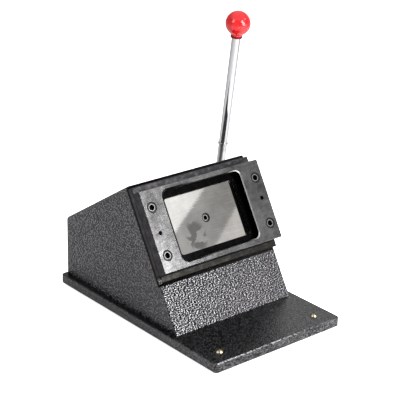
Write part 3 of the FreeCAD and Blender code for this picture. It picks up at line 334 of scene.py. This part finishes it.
bronze = Finish("sintered bronze", Metallic=1.0)
pores = bronze.noise(0.5 * MM, 3.0)
bronze.shade(
    Base_Color=bronze.mix((0.38, 0.25, 0.11), (0.66, 0.46, 0.25), pores.ramp(0.3, 0.7)),
    Roughness=0.3 + 0.25 * pores)
bronze.relief(pores, 0.05 * MM)
wear_on(bronze, "bearing_bushes")

# ------------------------------------------------------------------ shaft, cam, pins and collars
# Turned bright bar with a milled plate cam pinned to it; every face keeps the fine rings
# or strokes of the tool that cut it.


def cut_steel(name, dark, light, strokes, gloss):
    """Bright steel with the strokes of its last tool, drawn out by the three factors."""
    finish = Finish(name, Metallic=1.0)
    lines = finish.noise(0.35 * MM, 2.0, place=finish.stretch(strokes))
    stain = finish.noise(7 * MM, 4.0, 0.6)
    finish.shade(Base_Color=finish.mix(dark, light, 0.35 * lines + 0.65 * stain.ramp(0.3, 0.7)),
                 Roughness=gloss + 0.18 * lines + 0.08 * stain)
    finish.relief(lines, 0.02 * MM)
    return finish


turned = cut_steel("turned bar", (0.40, 0.40, 0.41), grey(0.62), (3, 0.2, 0.2), 0.16)
wear_on(turned, "drive_shaft", "shaft_collars")
milled = cut_steel("milled cam", (0.26, 0.26, 0.27), grey(0.46), (0.2, 1, 0.3), 0.22)
wear_on(milled, "cam_plate")
hard_pin = cut_steel("ground pins", (0.34, 0.34, 0.35), grey(0.55), (0.3, 1, 1), 0.12)
wear_on(hard_pin, "cam_pin", "roller_pin", "cam_roller")

# ------------------------------------------------------------------ ram and its clips
# A ground steel bar that slides in the guide block, forked at the back for the roller's
# pin, with a spring-steel clip at each end of the pin.

ram_steel = cut_steel("ground ram", (0.32, 0.32, 0.33), grey(0.5), (1, 0.15, 0.2), 0.2)
wear_on(ram_steel, "ram")
spring_steel = blackened("spring clips")
wear_on(spring_steel, "pin_clips")

# ------------------------------------------------------------------ punch
# A hardened block the size of the card, surface-ground across its face to a fine warm
# grey, with a cap screw sunk in the middle and a smear of oil left by a finger.

SMEAR_AT = (-17 * MM, 81 * MM, 0.0)

punch_steel = Finish("ground punch", Metallic=1.0)
on_slope = slope_place(punch_steel)
wheel = punch_steel.noise(0.4 * MM, 3.0, place=punch_steel.stretch((0.04, 1, 1), on_slope))
handled = punch_steel.noise(11 * MM, 5.0, 0.62, place=on_slope)
from_smear = punch_steel.vector("SUBTRACT", on_slope, SMEAR_AT)
smear_reach = punch_steel.stretch((1.0, 0.75, 0.0), from_smear)
smear_reach = punch_steel.vector("LENGTH", smear_reach, output="Value")
finger = punch_steel.noise(7 * MM, 2.0, 0.5, 1.5, place=on_slope)
smear = smear_reach.ramp(14 * MM, 8 * MM) * finger.ramp(0.42, 0.52)
worn = handled.ramp(0.25, 0.75)
left_side = punch_steel.mix((0.56, 0.55, 0.535), (0.74, 0.725, 0.70), worn)
right_side = punch_steel.mix((0.35, 0.335, 0.32), (0.49, 0.47, 0.445), worn)
side = punch_steel.apart(on_slope).out("X").ramp(-45 * MM, 45 * MM)
tone = punch_steel.mix(left_side, right_side, side)
tone = punch_steel.mix(tone, (0.9, 0.88, 0.86), 0.25 * wheel.ramp(0.5, 0.8))
punch_steel.shade(
    Base_Color=punch_steel.mix(tone, (0.22, 0.215, 0.21), 0.8 * smear),
    Roughness=0.015 + 0.02 * wheel + 0.02 * handled)
punch_steel.relief(wheel, 0.004 * MM)
wear_on(punch_steel, "punch")

# ------------------------------------------------------------------ guide plate, spacers, die plate
# Three layers screwed to the front: a dark ground plate, two thin strips that leave the
# slot for the plastic sheet, and the thick hardened die plate with its stepped window.
# Painted shade darkens the seam under the die and the plate's low edge; a painted glint lies on
# the low corners, and the window's lip is painted near black round its left and bright on its
# right.

GUIDE_LOW = GUIDE_MID - GUIDE_HALF.y
DIE_LOW = 56 * MM
FACE_N = 15.7 * MM
WINDOW_MID = Vector((0.0, 95.25 * MM, 0.0))
WINDOW_HALF = Vector((46.5 * MM, 33.25 * MM))
WINDOW_CORNER = 6 * MM

guide_steel = Finish("guide plate steel", Metallic=0.9)
on_slope = slope_place(guide_steel)
strokes = guide_steel.noise(0.5 * MM, 3.0, place=guide_steel.stretch((0.05, 1, 1), on_slope))
oil = guide_steel.noise(3 * MM, 6.0, 0.7, place=on_slope)
flecks = 0.25 * strokes + 0.75 * oil.ramp(0.45, 0.7)
at = guide_steel.apart(on_slope)
up_slope = at.out("Y")
low_tone = guide_steel.mix((0.006, 0.0055, 0.005), (0.036, 0.033, 0.029), flecks)
high_tone = guide_steel.mix((0.012, 0.0115, 0.013), (0.085, 0.081, 0.088), flecks)
tone = guide_steel.mix(low_tone, high_tone, up_slope.ramp(60 * MM, 130 * MM))
# Painted shade: a near-black line along the plate's low edge and another just under the die.
low_edge_shade = up_slope.ramp(GUIDE_LOW + 1.4 * MM, GUIDE_LOW + 0.9 * MM)
under_die_shade = up_slope.ramp(DIE_LOW - 1.4 * MM, DIE_LOW - 1.0 * MM)
under_die_shade = under_die_shade * up_slope.ramp(DIE_LOW + 1.0 * MM, DIE_LOW)
tone = guide_steel.mix(tone, grey(0.0005), low_edge_shade + under_die_shade)
# A painted glint on the chamfers at the low corners.
at_corner = abs(at.out("X")).ramp(GUIDE_HALF.x - 0.8 * MM, GUIDE_HALF.x - 0.6 * MM)
at_corner = at_corner * up_slope.ramp(DIE_LOW - 1 * MM, DIE_LOW - 3 * MM)
painted_glint = at_corner * guide_steel.noise(0.8 * MM, 2.0, place=on_slope).ramp(0.48, 0.56)
guide_steel.shade(
    Base_Color=guide_steel.mix(tone, (0.30, 0.29, 0.28), painted_glint),
    Roughness=0.3 + 0.15 * strokes + 0.1 * oil)
guide_steel.relief(strokes, 0.02 * MM)
wear_on(guide_steel, "guide_plate", "slot_spacers")

die_steel = Finish("die plate steel", Metallic=1.0)
on_slope = slope_place(die_steel)
out_of_slope = die_steel.apart(on_slope).out("Z")
wheel = die_steel.noise(0.45 * MM, 3.0, place=die_steel.stretch((0.05, 1, 1), on_slope))
mottle = die_steel.noise(2.6 * MM, 6.0, 0.7, place=on_slope)
blotch = die_steel.noise(13 * MM, 3.0, 0.6, place=on_slope)
ground = out_of_slope.ramp(FACE_N - 0.75 * MM, FACE_N - 0.1 * MM)
from_mid = die_steel.apart(die_steel.vector("SUBTRACT", on_slope, WINDOW_MID))
past_side = (abs(from_mid.out("X")) - (WINDOW_HALF.x - WINDOW_CORNER)).most(0)
past_end = (abs(from_mid.out("Y")) - (WINDOW_HALF.y - WINDOW_CORNER)).most(0)
from_mouth = (past_side ** 2 + past_end ** 2) ** 0.5 - WINDOW_CORNER
bright = 0.25 * wheel + 0.4 * mottle.ramp(0.3, 0.7) + 0.35 * blotch.ramp(0.35, 0.65)
face_tone = die_steel.mix((0.055, 0.054, 0.055), (0.24, 0.237, 0.24), bright)
above_wall = out_of_slope.ramp(FACE_N - 1.2 * MM, FACE_N - 0.8 * MM)
inside = from_mouth.ramp(0.3 * MM, 0.0) * (1 - above_wall)
# The window's lip is painted near black all round, a painted shade that widens on the left, and
# turns to a painted highlight on the right.
left_lip_shade = from_mouth.ramp(2.3 * MM, 1.7 * MM) * from_mid.out("X").ramp(0, -30 * MM)
lip = from_mouth.ramp(1.1 * MM, 0.9 * MM).most(left_lip_shade) * above_wall
painted_glint = from_mid.out("X").ramp(30 * MM, 46 * MM)
lip_shade_and_highlight = die_steel.mix(grey(0.004), (0.50, 0.50, 0.49), painted_glint)
scale_tone = die_steel.mix((0.009, 0.008, 0.0100), (0.036, 0.033, 0.038), mottle.ramp(0.35, 0.7))
scale_tone = die_steel.mix(scale_tone, grey(0.002), 0.9 * inside)
whole = die_steel.mix(scale_tone, face_tone, ground)
die_steel.shade(
    Base_Color=die_steel.mix(whole, lip_shade_and_highlight, lip),
    Roughness=0.32 - 0.2 * ground - 0.18 * inside + 0.06 * wheel + 0.08 * mottle)
die_steel.relief(0.07 * wheel + 0.03 * mottle, 0.2 * MM)
wear_on(die_steel, "die_plate")

# ------------------------------------------------------------------ plate screws and dowels
# Four M6 cap screws sunk into the corners of the die plate, black oxide worn bright on
# the rims of the sockets, two blued dowels between them, and the punch's own M5 screw.
# Below each head's top the colour is painted near black: painted shade in the sockets and over the
# sunk dowels.

CORNER_SPOTS = (62.5 * MM, 94.55 * MM, 22.75 * MM)
PUNCH_SPOT = (0.0, 95 * MM, 0.0)


def socket_black(name, top_n, spots=CORNER_SPOTS, mouth=2.9 * MM):
    """Black oxide on a cap screw of the front, worn bright round the mouth of its socket.

    The spots lie to each side of a middle height and as far above as below it.
    """
    finish = blackened(name)
    at = finish.apart(slope_place(finish))
    side, middle, half = spots
    across = abs(at.out("X")) - side
    along = abs(at.out("Y") - middle) - half
    from_axis = (across ** 2 + along ** 2) ** 0.5
    on_top = at.out("Z").ramp(top_n - 0.6 * MM, top_n - 0.2 * MM)
    rim = from_axis.ramp(mouth - 0.1 * MM, mouth)
    rim = rim * from_axis.ramp(mouth + 0.7 * MM, mouth + 0.35 * MM)
    wear = rim * (0.5 + finish.noise(1.2 * MM, 3.0))
    head = finish.mix(grey(0.016), (0.17, 0.17, 0.165), wear)
    # Below the head's top all is painted near black: painted shade in the socket, and over a dowel
    # sunk in its hole.
    finish.shade(Base_Color=finish.mix(grey(0.002), head, on_top))
    return finish


wear_on(socket_black("plate cap screws", FACE_N - 0.3 * MM), "plate_screws")
wear_on(socket_black("blued dowels in painted shade", FACE_N), "dowel_pins")
wear_on(socket_black("punch cap screw", 3.6 * MM, PUNCH_SPOT, 2.3 * MM), "punch_screw")

# ------------------------------------------------------------------ lever hub
# A turned steel hub on the end of the shaft, enamelled black, with a socket for the
# lever's stem and a washer and screw on its end.

hub_enamel = Finish("hub enamel", IOR=1.5, Coat_Weight=0.3, Coat_Roughness=0.12)
peel = hub_enamel.noise(1.6 * MM, 2.0)
scuff = hub_enamel.noise(3 * MM, 6.0, 0.7)
hub_enamel.shade(
    Base_Color=hub_enamel.mix((0.012, 0.012, 0.013), (0.055, 0.055, 0.058), scuff.ramp(0.5, 0.75)),
    Roughness=0.24 + 0.25 * scuff)
hub_enamel.relief(peel, 0.08 * MM)
wear_on(hub_enamel, "lever_hub")

# ------------------------------------------------------------------ lever stem
# The lower third of the lever: satin turned steel, locked in the hub by a thin nut and
# ending in a small ring where the plated rod screws in.

stem_steel = cut_steel("satin stem", (0.34, 0.34, 0.35), grey(0.56), (0.4, 0.4, 3), 0.22)
wear_on(stem_steel, "lever_stem")

# ------------------------------------------------------------------ lever rod
# Polished steel tube stock, chromium plated: almost a mirror, with a faint haze of wiping
# marks along it.

chrome = Finish("chromium plate", Metallic=1.0)
wipe = chrome.noise(0.5 * MM, 3.0, place=chrome.stretch((1, 1, 0.05)))
haze = chrome.noise(12 * MM, 4.0)
chrome.shade(Base_Color=chrome.mix((0.36, 0.36, 0.37), (0.47, 0.47, 0.48), haze),
             Roughness=0.04 + 0.06 * wipe + 0.05 * haze.ramp(0.5, 0.8))
chrome.relief(wipe, 0.004 * MM)
wear_on(chrome, "lever_rod")

# ------------------------------------------------------------------ ball knob
# A ball moulded in glossy red phenolic with a flat neck round its threaded hole, tight
# on the end of the rod. Years of hands have rubbed a faint cloud of fine scratches in it,
# and the end of the neck is painted dark: painted shade under the ball.

LEVER_FOOT = Vector((79 * MM, 69.217 * MM, 47.593 * MM))
LEVER_LEAN = math.radians(7.6)
LEVER_WAY = (0.0, -math.sin(LEVER_LEAN), math.cos(LEVER_LEAN))
NECK_END = 198.6 * MM

red_plastic = Finish("red phenolic", IOR=1.5, Specular_IOR_Level=0.38,
                     Coat_Weight=0.15, Coat_Roughness=0.04)
swirl = red_plastic.noise(5 * MM, 4.0, 0.55, 0.8)
scratch = red_plastic.noise(0.6 * MM, 4.0, 0.7)
from_foot = red_plastic.vector("SUBTRACT", red_plastic.place, LEVER_FOOT)
up_lever = red_plastic.vector("DOT_PRODUCT", from_foot, LEVER_WAY, output="Value")
# The neck's lower end is painted dark maroon: painted shade.
neck_painted_shade = up_lever.ramp(NECK_END + 2.8 * MM, NECK_END + 2.2 * MM)
red_tone = red_plastic.mix((0.44, 0.008, 0.010), (0.58, 0.014, 0.016), swirl.ramp(0.3, 0.7))
red_plastic.shade(
    Base_Color=red_plastic.mix(red_tone, (0.16, 0.004, 0.008), neck_painted_shade),
    Metallic=neck_painted_shade,
    Roughness=0.1 + 0.08 * scratch.ramp(0.45, 0.8))
red_plastic.relief(0.9 * red_plastic.noise(3 * MM) + 0.1 * scratch, 0.006 * MM)
wear_on(red_plastic, "ball_knob")

# ------------------------------------------------------------------ floor and sky
# A wide sheet of white paper on the bench under an even white sky. Both look brighter
# than the light they throw, which keeps the ground clean and the machine dark.

HALF_FLOOR = 6.0

floor_mesh = bpy.data.meshes.new("studio_floor")
floor_corners = [(-HALF_FLOOR, -HALF_FLOOR), (HALF_FLOOR, -HALF_FLOOR),
                 (HALF_FLOOR, HALF_FLOOR), (-HALF_FLOOR, HALF_FLOOR)]
floor_mesh.from_pydata([(x, y, 0.0) for x, y in floor_corners], [], [(0, 1, 2, 3)])
studio_floor = bpy.data.objects.new("studio_floor", floor_mesh)
bpy.context.scene.collection.objects.link(studio_floor)
paper = Finish("floor paper", Roughness=0.9, Emission_Strength=1.0)
seen = paper.add("ShaderNodeLightPath").out("Is Camera Ray")
paper.shade(Base_Color=paper.mix(grey(0.93), grey(0.95), paper.noise(0.3, 2.0)),
            Emission_Color=paper.mix(grey(0.0), grey(0.85), seen))
floor_mesh.materials.append(paper.material)

world = bpy.data.worlds.new("studio sky")
sky = Mixture(world, "Background")
seen = sky.add("ShaderNodeLightPath").out("Is Camera Ray")
sky.shade(Color=grey(1.0), Strength=0.4 + 0.6 * seen)
bpy.context.scene.world = world
bpy.context.scene.view_settings.view_transform = "Standard"

# ------------------------------------------------------------------ lamps
# Five soft boxes hang on one frame that faces the sloping front where it mirrors the bench.
# Four more light the base's edge, the left side, the base's rear and the whole from above.


def soft_box(name, middle, axes, wide, high, radiance):
    """A rectangular area light; axes are its own right, up and back directions."""
    data = bpy.data.lights.new(name, "AREA")
    data.shape = "RECTANGLE"
    data.size = wide
    data.size_y = high
    data.energy = radiance * math.pi * wide * high
    lamp = bpy.data.objects.new(name, data)
    lamp.matrix_world = Matrix.Translation(middle) @ Matrix(axes).transposed().to_4x4()
    lamp.visible_camera = False
    bpy.context.scene.collection.objects.link(lamp)


def aimed(middle, aim):
    """Right, up and back directions of a lamp at middle that faces aim."""
    back = (middle - aim).normalized()
    right = Vector((0, 0, 1)).cross(back).normalized()
    return right, back.cross(right), back


PRESS = Vector((0.0037, -0.0097, 0.0949))
MIRROR_WAY = Vector((0.602, -0.669, 0.436)).normalized()
stand = PRESS + 0.6 * MIRROR_WAY
right, up, back = aimed(stand, PRESS)


def hang(name, to_right, to_top, wide, high, roll_deg, radiance, out=0.0):
    """A soft box on the frame that faces the sloping front, rolled about its own middle."""
    c, s = math.cos(math.radians(roll_deg)), math.sin(math.radians(roll_deg))
    soft_box(name, stand + to_right * right + to_top * up + out * back,
             (c * right + s * up, c * up - s * right, back), wide, high, radiance)


hang("front_scrim", -0.050, 0.17, 0.13, 0.30, 18.1, 0.80)
hang("front_veil", 0.0, 0.0, 0.13, 0.13, 21.0, 0.14, 0.02)
hang("low_scrim", -0.060, -0.22, 0.34, 0.22, -20.0, 3.0)
hang("front_flash", -0.295, 0.03, 0.34, 0.55, 10.0, 15.0)
hang("front_strip", 0.0229, -0.0456, 0.075, 0.05, 24.0, 0.50)
for name, place, aim, wide, high, radiance in (
        ("edge_flash", (0.53, -0.43, 0.70), (0, -0.1, 0.02), 0.35, 0.12, 5.0),
        ("left_flash", (-0.87, 0.03, 0.75), (0, 0, 0.2), 0.42, 0.5, 5.6),
        ("rear_veil", (0.43, 0.29, 0.28), (0.05, -0.09, 0.012), 0.45, 0.35, 0.8)):
    soft_box(name, Vector(place), aimed(Vector(place), Vector(aim)), wide, high, radiance)
level = (Vector((1, 0, 0)), Vector((0, 1, 0)), Vector((0, 0, 1)))
soft_box("top_scrim", Vector((0, 0, 2.4)), level, 4.5, 4.5, 0.8)

# ------------------------------------------------------------------ camera
# A long lens in front and to the left of the machine, a little above it.

camera_data = bpy.data.cameras.new("bench_camera")
camera_data.sensor_width = 36.0
camera_data.lens = 124.945
camera = bpy.data.objects.new("bench_camera", camera_data)
camera.location = (-0.778714, -0.918038, 0.595574)
camera.rotation_euler = [math.radians(turn) for turn in (68.01996, -1.20340, -39.88087)]
bpy.context.scene.collection.objects.link(camera)
bpy.context.scene.camera = camera
